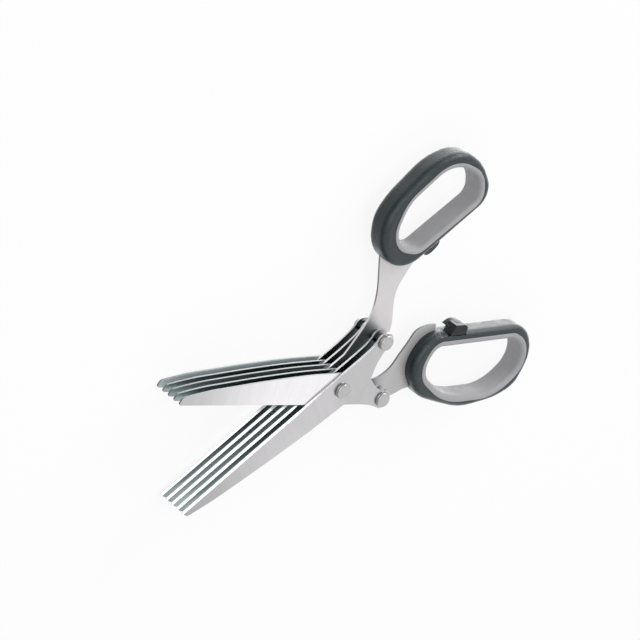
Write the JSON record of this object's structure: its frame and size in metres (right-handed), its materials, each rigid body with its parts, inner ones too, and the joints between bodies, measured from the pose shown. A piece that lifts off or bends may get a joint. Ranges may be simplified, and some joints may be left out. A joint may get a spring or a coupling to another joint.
{
  "type": "herb scissors",
  "caption": "Herb scissors with a stack of parallel blade pairs, two lined finger loops and a small lock lever.",
  "frame": {"origin": "On the pivot axis, on the flat face of the lower head of the pivot rivet", "axes": "+X from the pivot towards the finger loops, along the length (the blades point to -X); +Y towards the thumb loop; +Z along the pivot axis, towards the front"},
  "size_m": [0.1982, 0.1393, 0.0206],
  "materials": {
    "blade_steel": "ground",
    "arm_steel": "satin",
    "rivet_steel": "polished",
    "spacer_steel": "turned",
    "grip_plastic": "fine texture",
    "liner_plastic": "satin",
    "lever_plastic": "smooth"
  },
  "bodies": {
    "finger_half": {"finger_blade_1": "blade_steel", "finger_blade_2": "blade_steel", "finger_arm_blade": "arm_steel", "finger_blade_4": "blade_steel", "finger_blade_5": "blade_steel", "finger_rear_rivet": "rivet_steel", "finger_spacer_1": "spacer_steel", "finger_spacer_2": "spacer_steel", "finger_spacer_3": "spacer_steel", "finger_spacer_4": "spacer_steel", "finger_grip": "grip_plastic", "finger_liner": "liner_plastic", "pivot_rivet": "rivet_steel", "pivot_washer_1": "spacer_steel", "pivot_washer_2": "spacer_steel", "pivot_washer_3": "spacer_steel", "pivot_washer_4": "spacer_steel", "lock_pin": "rivet_steel"},
    "thumb_half": {"thumb_blade_1": "blade_steel", "thumb_blade_2": "blade_steel", "thumb_arm_blade": "arm_steel", "thumb_blade_4": "blade_steel", "thumb_blade_5": "blade_steel", "thumb_rear_rivet": "rivet_steel", "thumb_spacer_1": "spacer_steel", "thumb_spacer_2": "spacer_steel", "thumb_spacer_3": "spacer_steel", "thumb_spacer_4": "spacer_steel", "thumb_grip": "grip_plastic", "thumb_liner": "liner_plastic"},
    "lock_lever": {"lock_lever": "lever_plastic"}
  },
  "joints": [
    {"name": "blade_pivot", "type": "hinge", "parent": "finger_half", "child": "thumb_half", "pos_m": [0, 0, 0.01], "axis": [0, 0, 1], "range_deg": [-37.5, 40]},
    {"name": "lock_lever_pivot", "type": "hinge", "parent": "finger_half", "child": "lock_lever", "pos_m": [0.07026, -0.00158, 0.0107], "axis": [0, 0, 1], "range_deg": [-12, 0]}
  ]
}
